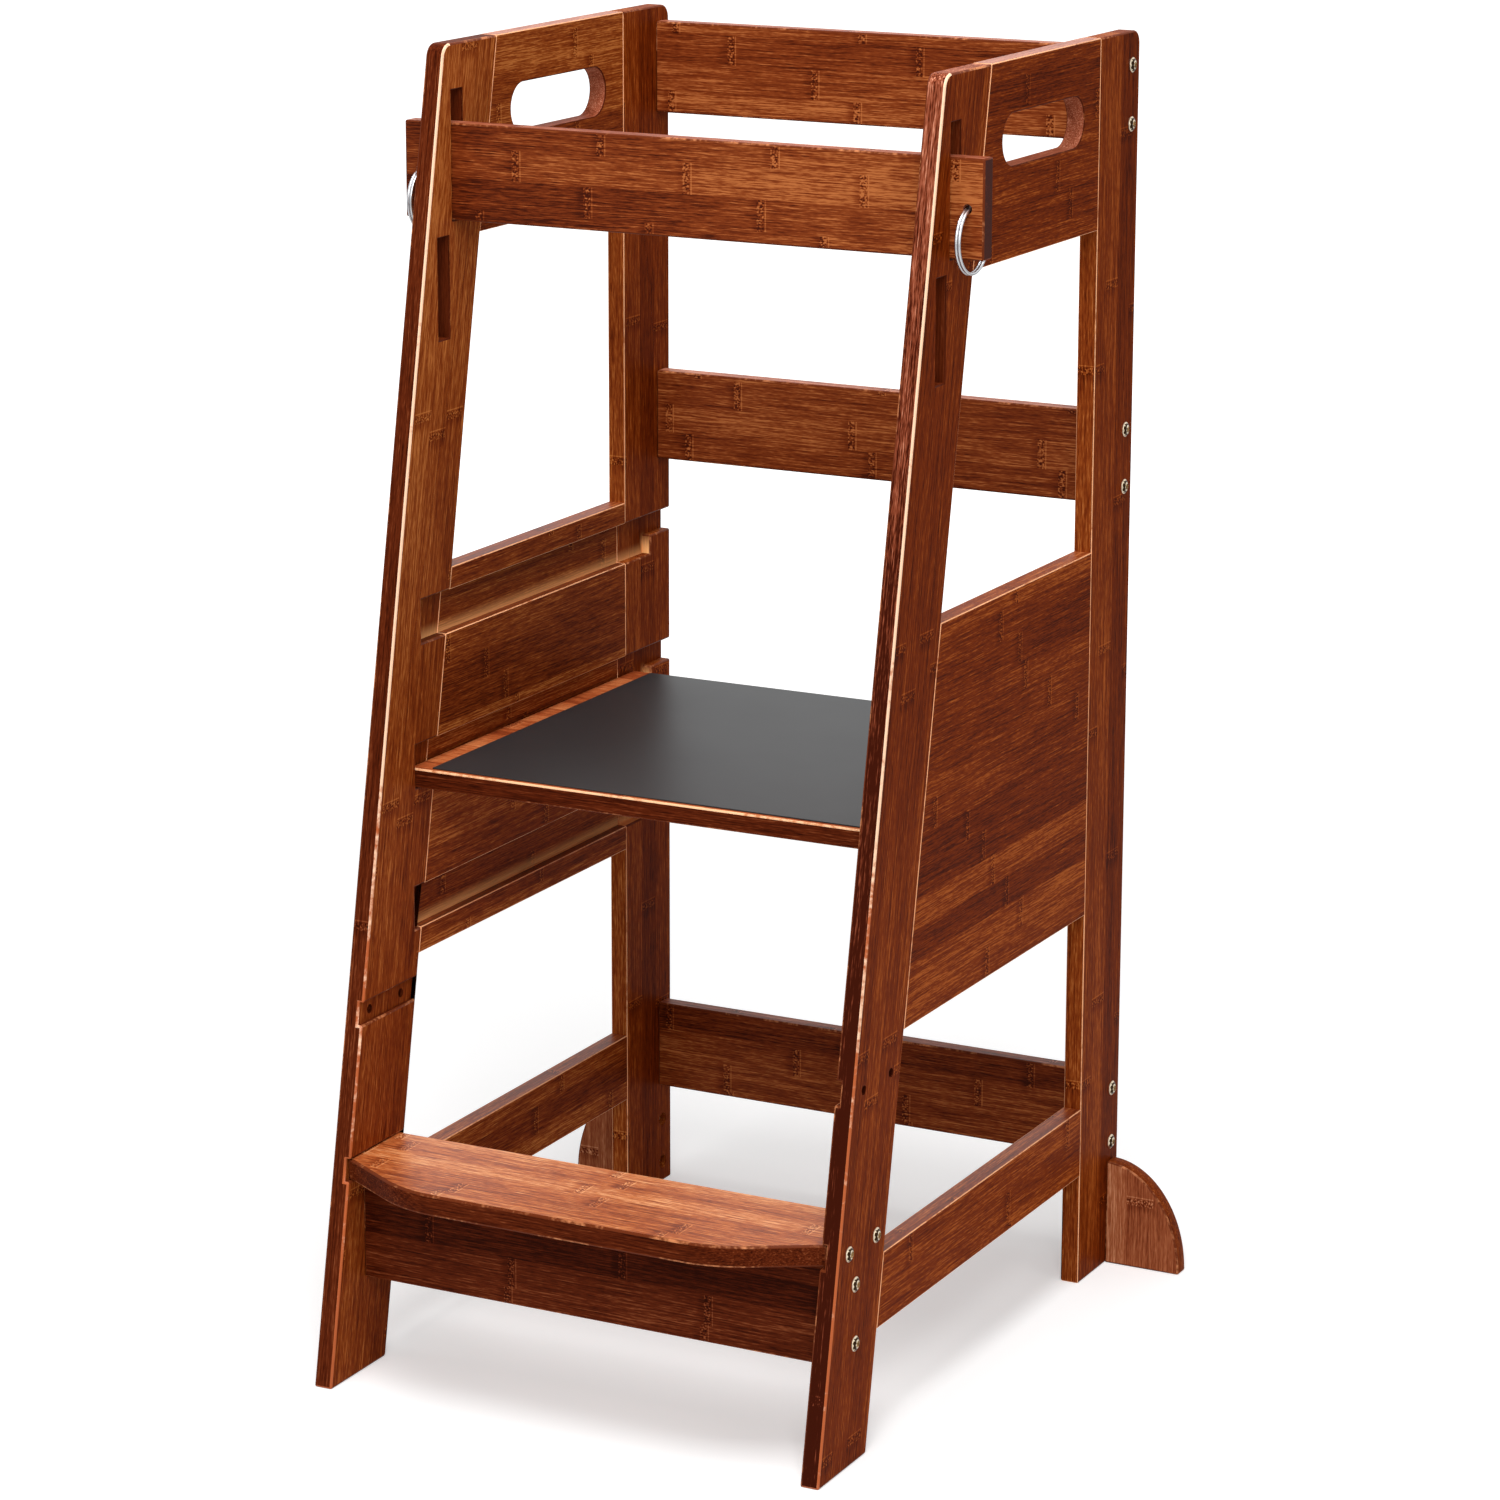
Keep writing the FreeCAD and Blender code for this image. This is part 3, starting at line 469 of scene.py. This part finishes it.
# The slots' walls get the darkest tones, a painted shade for the inside of a recess.  The hand
# holes' walls get pale pink tones, a painted highlight for the light on their lit ends.
cut_out = bamboo("cut-out", "upright", RIM_TONES, contrast=0.6, knuckle_spacing=RARE_KNUCKLES)
hand_hole = bamboo("hand hole", "sideways", PINK_TONES, contrast=0.7, knuckle_spacing=RARE_KNUCKLES)

# %% Finishes of the boards across the stool
rail_bamboo = bamboo("rail bamboo", "crosswise", RAIL_TONES, shine=0.06, knuckle_spacing=0.15)
rail_rim = bamboo("rail rim", "crosswise", PINK_TONES, shine=0.14)
guard_bamboo = bamboo("guard rail bamboo", "crosswise", RAIL_TONES, shine=0.06,
                      knuckle_spacing=0.13, contrast=1.1, shade=paler_to_the_right)
guard_rim = bamboo("guard rail rim", "crosswise", PINK_TONES, shine=0.08, shade=dark_ends)
# The apron's dark tones are painted shade from the step above it.
apron_bamboo = bamboo("apron bamboo", "crosswise", RIM_TONES, shine=0.02, knuckle_spacing=0.15,
                      shade=painted_step_shadow)
# Painted highlight: the step's pale tones stand for the light on its top.
step_bamboo = bamboo("step bamboo", "flat", STEP_TONES, strip=0.019, contrast=1.1, shine=0.40,
                     knuckle_spacing=0.17, strip_contrast=0.55)
platform_bamboo = bamboo("platform bamboo", "flat", PLATFORM_TONES, shine=0.25)
step_rim = bamboo("step rim", "flat", RIM_TONES, knuckle_spacing=RARE_KNUCKLES)

# %% Finishes of the softened edges
# cream_edge and platform_edge: wear with a painted highlight on corners that face the light; fade
# makes the highlight fainter on low edges.
cream_edge = edge_finish("bare edge", paint(255, 208, 172), paint(184, 92, 46), 1.0, fade=True,
                       shine=0.2)
platform_edge = edge_finish("platform edge", paint(250, 196, 150), paint(196, 114, 66), 0.8)
worn = edge_finish("worn edge", paint(206, 130, 84), paint(104, 44, 18), 0.46)
joint_edge = edge_finish("joint edge", paint(244, 176, 128), paint(184, 108, 66), 0.85)
dull = edge_finish("stained edge", paint(150, 82, 44), paint(78, 28, 10), 0.34, shine=0.02)

# %% [markdown]
# ## Boards with softened edges
#
# The solids arrive as loose triangles with knife-sharp corners.  A bevel
# needs joined faces, so a copy is merged, its flat faces are made whole again,
# and the long sharp edges are rounded.  The small round bores keep their sharp
# rims, as a drill leaves them.  Glued joints get a finer rounding, which leaves
# the thin line seen between two boards.

# %% Telling edges apart
SHARP = math.radians(30)
BORE = 0.015
ON_THE_LINE = 0.0003
rear_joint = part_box("left_rear_leg")[0].y
print("glued joints: %.0f mm behind the front and at y %.3f m" % (leg_width * 1000, rear_joint))


def is_sharp(edge):
    return len(edge.link_faces) == 2 and edge.calc_face_angle() > SHARP


def sharp_runs(shape):
    """Connected runs of sharp edges, the longest first, without the rims of bores."""
    sharp = {edge for edge in shape.edges if is_sharp(edge)}
    runs = []
    while sharp:
        run = [sharp.pop()]
        for edge in run:
            for vertex in edge.verts:
                for other in vertex.link_edges:
                    if other in sharp:
                        sharp.remove(other)
                        run.append(other)
        points = [v.co for e in run for v in e.verts]
        spread = max(max(p[i] for p in points) - min(p[i] for p in points) for i in range(3))
        if spread > BORE:
            runs.append((spread, [e for e in run if e.is_convex]))
    runs.sort(key=lambda pair: -pair[0])
    return [run for _, run in runs]


def front_edge(level):
    """Where a side's leaning front is, at a height above the floor."""
    return leg_box[0].y + leg_lean * level


def on_glued_joint(edge):
    """True for an edge that lies on the line where two side boards meet."""
    def off(point):
        return min(abs(point.y - leg_width - front_edge(point.z)), abs(point.y - rear_joint))
    return all(off(v.co) < ON_THE_LINE for v in edge.verts)


def glued_edges(shape):
    """The sharp edges round a board's glued ends."""
    return [e for e in shape.edges if is_sharp(e) and e.is_convex and on_glued_joint(e)]


# %% [markdown]
# Some edges are nearly white: the right-hand corner of each front leg, the
# left-hand corner of the handles' tops and the upper front edge of the
# standing board.  These corners face the light, and the white is a painted
# highlight over their wear.  A small function for each says whether a point
# of a rounded edge is part of it.

# %% Where the edges have gone pale
EDGE_REACH = 0.004
TOP_CORNER = 0.012
side_middle = abs(leg_box[0].x + leg_box[1].x) / 2
print("middle of the side boards: x %.4f m" % side_middle)


def right_half(point):
    """True on the right-hand half of a side board's thickness."""
    return point.x > math.copysign(side_middle, point.x)


def leg_front(point):
    """The corner between a front leg's front and the face on its right."""
    near_top = point.z > leg_height - TOP_CORNER and point.y < front_edge(leg_height) + TOP_CORNER
    return right_half(point) and (near_top or point.y - front_edge(point.z) < EDGE_REACH)


def handle_top(point):
    """The left-hand corner of a handle board's top, where a highlight is painted."""
    return not right_half(point) and point.z > leg_height - EDGE_REACH


def platform_front(point):
    low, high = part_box("platform_board")
    return point.y < low.y + EDGE_REACH and point.z > high.z - EDGE_REACH


def nowhere(point):
    return False


# %% [markdown]
# A bevel makes new faces.  Each is given its finish by its place, so one pass
# over a board can leave one corner cream and the next one merely worn.  Curved
# rims are shaded smoothly, and flat faces stay flat.

# %% Rounding a set of edges
MAIN, RIM, WORN, WHITENED, DULL, JOINT, CUT_OUT = range(7)
BOARD_ROUNDING, LEG_ROUNDING, STEP_ROUNDING = 0.0012, 0.0014, 0.0016
JOINT_ROUNDING, SHEET_ROUNDING = 0.0006, 0.0003
OPENING_SHARE = 0.6
FLATTEST_TURN, STEEPEST_TURN = math.radians(0.5), math.radians(40)
LARGEST_FACET = 3e-4


def soften(shape, edges, width, finish_for):
    """Round some edges and give each new face a finish by its place."""
    result = bmesh.ops.bevel(
        shape, geom=edges, offset=width, offset_type="OFFSET", affect="EDGES",
        segments=2, profile=0.5, material=-1, clamp_overlap=False)
    for face in result["faces"]:
        face.material_index = finish_for(face.calc_center_median())


def smooth_curves(shape):
    """Shade the facets of curves smoothly and leave the flat faces flat."""
    for face in shape.faces:
        turns = [e.calc_face_angle() for e in face.edges if len(e.link_faces) == 2]
        curved = any(FLATTEST_TURN < turn < STEEPEST_TURN for turn in turns)
        face.smooth = curved and face.calc_area() < LARGEST_FACET


# %% [markdown]
# Every board goes through the same steps: merge, tell the broad faces from
# the rims, round the outline, then the openings, then the glued ends, and
# shade.  The result rides on the body that the solid belongs to and takes the
# solid's place.

# %% One board
SAME_POINT = 0.00001
SAME_PLANE = math.radians(0.3)
FACES_THE_AXIS = 0.9


def merged_copy(name):
    """A copy of a solid whose triangles share their corners."""
    shape = bmesh.new()
    shape.from_mesh(nodes[name].data)
    bmesh.ops.remove_doubles(shape, verts=shape.verts, dist=SAME_POINT)
    return shape


def whole_faces(name):
    """A merged copy of a solid, with its flat faces made whole again."""
    shape = merged_copy(name)
    bmesh.ops.dissolve_limit(shape, angle_limit=SAME_PLANE, verts=shape.verts,
                             edges=shape.edges, delimit={"NORMAL"})
    return shape


def make_piece(name, shape, finishes, body):
    """Turn a bmesh into an object that rides on a body."""
    mesh = bpy.data.meshes.new(name)
    shape.to_mesh(mesh)
    shape.free()
    for finish in finishes:
        mesh.materials.append(finish)
    piece = bpy.data.objects.new(name, mesh)
    bpy.context.scene.collection.objects.link(piece)
    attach(piece, body)
    print("%-28s %6d faces" % (name, len(mesh.polygons)))
    return piece


def board(name, body, thin, main, rim, bare=nowhere, whitened_finish=cream_edge,
          opening_finish=cut_out, width=BOARD_ROUNDING):
    """A dressed copy of a board; thin is the axis through its thickness."""
    shape = whole_faces(name)
    for face in shape.faces:
        broad = abs(face.normal["xyz".index(thin)]) > FACES_THE_AXIS
        face.material_index = MAIN if broad else RIM
    outline, *openings = sharp_runs(shape)
    outline = [e for e in outline if not on_glued_joint(e)]
    soften(shape, outline, width, lambda p: WHITENED if bare(p) else WORN)
    for opening in openings:
        for face in {f for e in opening for f in e.link_faces}:
            if face.material_index == RIM:
                face.material_index = CUT_OUT
        soften(shape, opening, width * OPENING_SHARE, lambda p: DULL)
    joints = glued_edges(shape)
    if joints:
        soften(shape, joints, JOINT_ROUNDING, lambda p: JOINT)
    smooth_curves(shape)
    finishes = [main, rim, worn, whitened_finish, dull, joint_edge, opening_finish]
    piece = make_piece("dressed_" + name, shape, finishes, body)
    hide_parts(name)
    return piece


# %% [markdown]
# With these helpers a board is one call: its name, the body it moves with, the
# axis through its thickness, and the finishes of its broad faces and its rim.
# Each side is made of five glued boards and a foot.

# %% The two sides
for side in ("left", "right"):
    board(side + "_front_leg", "frame", "x", leaning_bamboo[side],
          leaning_rim[side], bare=leg_front, width=LEG_ROUNDING)
    board(side + "_rear_leg", "frame", "x", upright_bamboo, upright_rim)
    for name in ("handle_board", "side_panel", "side_rail"):
        rim = handle_rim if name == "handle_board" else sideways_rim
        board(side + "_" + name, "frame", "x", sideways_bamboo[side], rim,
              bare=handle_top, opening_finish=hand_hole)
    board(side + "_foot", "frame", "y", foot_bamboo, upright_rim)

# %% The boards across the stool
for name in ("back_rail_top", "back_rail_middle", "back_rail_low"):
    board(name, "frame", "y", rail_bamboo, rail_rim)
board("front_apron", "frame", "y", apron_bamboo, rail_rim)
board("guard_rail", "guard_rail", "y", guard_bamboo, guard_rim)
board("platform_board", "platform", "z", platform_bamboo, step_rim,
      bare=platform_front, whitened_finish=platform_edge)
board("front_step", "frame", "z", step_bamboo, step_rim, width=STEP_ROUNDING)

# %% [markdown]
# ## Grip sheet
#
# A smooth dark grey sheet is stuck on the standing board.  It is nearly flat
# black with a soft shine, and a very fine grain breaks the reflections up.

# %% The grip sheet
def sheet_finish():
    finish = Finish("grip sheet")
    place = finish.place()
    cloud = finish.even_noise(place, 9.0, 3.0)
    pore = finish.even_noise(place, 1500.0, 1.0)
    return finish.surface(
        base_color=finish.blend(cloud, paint(36, 37, 38), paint(43, 44, 45)),
        roughness=0.36 + cloud * 0.08,
        specular_ior_level=0.30,
        normal=finish.bump(pore, strength=0.10, distance=0.0002),
    )


sheet = whole_faces("platform_sheet")
soften(sheet, sharp_runs(sheet)[0], SHEET_ROUNDING, lambda p: MAIN)
piece = make_piece("dressed_platform_sheet", sheet, [sheet_finish()], "platform")
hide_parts("platform_sheet")

# %% [markdown]
# ## Metal parts
#
# The bolts and barrel nuts are zinc plated and passivated, which leaves a
# faint yellow cast, and the guard rail's rings are bright steel wire.  A metal
# is mostly its reflections, so a slow change of colour and roughness is all
# that the finish needs.

# %% Zinc and steel
def metal(name, dark, pale, roughness, waves):
    finish = Finish(name)
    cloud = finish.even_noise(finish.place(), waves, 3.0)
    return finish.surface(
        base_color=finish.blend(cloud, dark, pale),
        metallic=1.0,
        roughness=roughness + cloud * 0.10,
    )


zinc = metal("yellow zinc", paint(206, 178, 138), paint(250, 240, 218), 0.24, 300.0)
# The dark zinc is a painted reflection on the ring of each bolt's dome.
dark_reflection = metal("tarnished zinc", paint(34, 22, 12), paint(70, 50, 30), 0.24, 300.0)
steel = metal("ring steel", paint(196, 197, 200), paint(220, 221, 224), 0.27, 60.0)

# %% [markdown]
# The barrel nuts and the dowels sit inside the boards.  Their solids are plain
# cylinders, which is what the real ones are, so they only get a finish.

# %% Nuts and dowels
def dowel_finish():
    """Unstained wood, whose fibres run along the dowel, from front to back."""
    finish = Finish("plain dowel")
    x, y, z = finish.place()
    fibre = finish.noise(finish.point(x * 700.0, y * 20.0, z * 700.0), 2.0)
    return finish.surface(
        base_color=finish.blend(fibre, paint(186, 148, 104), paint(222, 192, 150)),
        roughness=0.6 + fibre * 0.1,
    )


hidden = {"_dowels": dowel_finish(), "_nuts": zinc}
for name, node in nodes.items():
    for ending, finish in hidden.items():
        if name.endswith(ending):
            node.data.materials.clear()
            node.data.materials.append(finish)
            print("%-28s %s" % (name, finish.name))

# %% [markdown]
# The bolts' heads are low domes. The dome's crown and its rim are bright, and
# the ring between them is painted dark, a painted reflection of a dark room.

# %% Bolts
DARK_REFLECTION_TURN = (0.78, 0.91)


def in_dark_reflection(face):
    """True for the ring round a dome's crown, where a dark reflection is painted, told by how far
    its faces have turned.
    """
    return DARK_REFLECTION_TURN[0] < abs(face.normal.x) < DARK_REFLECTION_TURN[1]


for name in nodes:
    if name.endswith("_bolts"):
        bolts = merged_copy(name)
        for face in bolts.faces:
            face.smooth = True
            face.material_index = int(in_dark_reflection(face))
        for edge in bolts.edges:
            edge.smooth = len(edge.link_faces) == 2 and edge.calc_face_angle() < SHARP
        piece = make_piece("dressed_" + name, bolts, [zinc, dark_reflection], "frame")
        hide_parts(name)

# %% [markdown]
# The guard rail's rings are split rings, as on a key ring: one wire wound
# twice round, so that two strands lie side by side.  A spin with a small shift
# at each step winds them in one go.  They have the size of the plain rings
# that stand for them among the solids.

# %% Split rings
STRAND = 0.00108
STRAND_SPACING = STRAND * 2.02
TURNS, STEPS_A_TURN, STRAND_SIDES = 2, 60, 12


def split_ring(side):
    """Wind one ring; the circle is the wire's cut end at the ring's rear."""
    low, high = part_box(side + "_ring")
    centre = (low + high) / 2
    wire = (high.x - low.x) / 2
    radius = (high.z - low.z) / 2 - wire
    start = Vector((centre.x - STRAND_SPACING * TURNS / 2, centre.y + radius, centre.z))
    ring = bmesh.new()
    made = bmesh.ops.create_circle(ring, cap_ends=True, segments=STRAND_SIDES, radius=STRAND,
                                   matrix=Matrix.Translation(start))
    bmesh.ops.spin(ring, geom=ring.faces[:] + ring.edges[:] + made["verts"], cent=centre,
                   axis=(1, 0, 0), dvec=(STRAND_SPACING / STEPS_A_TURN, 0, 0),
                   angle=math.tau * TURNS, steps=TURNS * STEPS_A_TURN, use_merge=False)
    bmesh.ops.remove_doubles(ring, verts=ring.verts, dist=SAME_POINT)
    bmesh.ops.recalc_face_normals(ring, faces=ring.faces)
    for face in ring.faces:
        face.smooth = len(face.verts) == 4
    piece = make_piece(side + "_split_ring", ring, [steel], side + "_ring")
    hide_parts(side + "_ring")
    return piece


for side in ("left", "right"):
    split_ring(side)

# %% [markdown]
# ## The studio
#
# The stool stands on a white sweep.  It could be lit until the paper is white,
# but that would bleach the wood.  So the floor glows a little for the camera
# alone: it reads as white paper and still takes the stool's soft shadow.

# %% White floor
FLOOR_GLOW, FAR_GLOW = 0.34, 0.7
FLOOR_FADE = (0.9, 3.0)
FLOOR_SIZE = 30.0


def floor_finish():
    """White paper: it takes shadow near the stool and fades into white far off."""
    finish = Finish("white floor")
    x, y, z = finish.place()
    far = finish.rise((x * x + y * y).math("SQRT"), *FLOOR_FADE)
    matt = finish.add("ShaderNodeBsdfDiffuse", inputs={"Color": paint(232, 232, 232)})
    strength = finish.ray("Camera") * (FLOOR_GLOW + far * FAR_GLOW)
    glow = finish.add("ShaderNodeEmission", inputs={"Strength": strength})
    both = finish.add("ShaderNodeAddShader", inputs={0: matt.outputs[0], 1: glow.outputs[0]})
    finish.add("ShaderNodeOutputMaterial", inputs={"Surface": both.outputs[0]})
    return finish.owner


sweep = bmesh.new()
bmesh.ops.create_grid(sweep, x_segments=1, y_segments=1, size=FLOOR_SIZE)
floor_mesh = bpy.data.meshes.new("floor")
sweep.to_mesh(floor_mesh)
sweep.free()
floor_mesh.materials.append(floor_finish())
floor = bpy.data.objects.new("floor", floor_mesh)
bpy.context.scene.collection.objects.link(floor)
print("floor reaches %.0f m each way" % FLOOR_SIZE)

# %% [markdown]
# The room is white where the camera or a mirror sees it, so that the metal has
# something bright to show.  As a light it is much weaker, or the shadows in
# the grooves and under the step would be lost.

# %% The room's light
ROOM_LIGHT = 0.34
WHITE = (1.0, 1.0, 1.0, 1.0)

room = Finish("white room", shelf=bpy.data.worlds)
seen_or_mirrored = room.ray("Camera").math("MAXIMUM", room.ray("Glossy"))
strength = seen_or_mirrored * (1.0 - ROOM_LIGHT) + ROOM_LIGHT
glow = room.add("ShaderNodeBackground", inputs={"Color": WHITE, "Strength": strength})
room.add("ShaderNodeOutputWorld", inputs={"Surface": glow.outputs[0]})
bpy.context.scene.world = room.owner
print("room light:", ROOM_LIGHT)

# %% [markdown]
# Two large lamps do most of the work: one overhead, which lights the step and
# the standing board, and one high in front, which lights the boards' faces.  A
# weak one fills from the right.  Large lamps give the photograph's soft
# shadows.

# %% Lamps
def lamp(name, place, target, size, watts):
    light = bpy.data.lights.new(name, "AREA")
    light.shape = "SQUARE"
    light.size = size
    light.energy = watts
    holder = bpy.data.objects.new(name, light)
    holder.location = place
    aim = Vector(target) - Vector(place)
    holder.rotation_euler = aim.to_track_quat("-Z", "Y").to_euler()
    bpy.context.scene.collection.objects.link(holder)
    print("%s: %.0f W, %.1f m wide, %.1f m away" % (name, watts, size, aim.length))
    return holder


middle = Vector((0.0, 0.0, 0.45))
lamp("overhead lamp", (0.2, -0.6, 3.0), middle, 1.4, 64.0)
lamp("front lamp", (1.4, -2.9, 2.9), middle, 1.5, 52.0)
lamp("right lamp", (3.2, -1.4, 1.4), middle, 2.0, 12.0)

# %% [markdown]
# ## The camera
#
# The photograph was taken from the front right and from a little above the
# stool, with a long lens.  The corners of the boards were measured in it, and
# the camera's place, direction and lens were fitted to them.  Its frame isn't
# centred on the lens's axis, so a small lens shift moves the frame, which
# leaves the perspective as it is.

# %% Camera
PICTURE = 1500.0
FOCAL_PIXELS = 4766.5
CENTRE_X, CENTRE_Y = 773.9, 650.0
CAMERA_PLACE = (1.4731, -2.8220, 1.2429)
azimuth = math.radians(27.009)
tilt = math.radians(13.341)
roll = math.radians(0.181)

camera = bpy.data.objects.new("camera", bpy.data.cameras.new("camera"))
camera.data.sensor_width = 36.0
camera.data.lens = FOCAL_PIXELS / PICTURE * camera.data.sensor_width
camera.data.shift_x = (PICTURE / 2 - CENTRE_X) / PICTURE
camera.data.shift_y = (CENTRE_Y - PICTURE / 2) / PICTURE
forward = Vector((-math.sin(azimuth) * math.cos(tilt),
                  math.cos(azimuth) * math.cos(tilt), -math.sin(tilt)))
right = Vector((math.cos(azimuth), math.sin(azimuth), 0.0))
up = right.cross(forward)
turned = Matrix((right, up, -forward)).transposed()
camera.rotation_euler = (turned @ Matrix.Rotation(roll, 3, "Z")).to_euler()
camera.location = CAMERA_PLACE
camera.data.clip_start = 0.1
camera.data.clip_end = 200.0
bpy.context.scene.collection.objects.link(camera)
bpy.context.scene.camera = camera
bpy.context.scene.view_settings.view_transform = "Standard"
print("lens %.1f mm, shift %.4f %.4f" % (camera.data.lens, camera.data.shift_x,
                                         camera.data.shift_y))
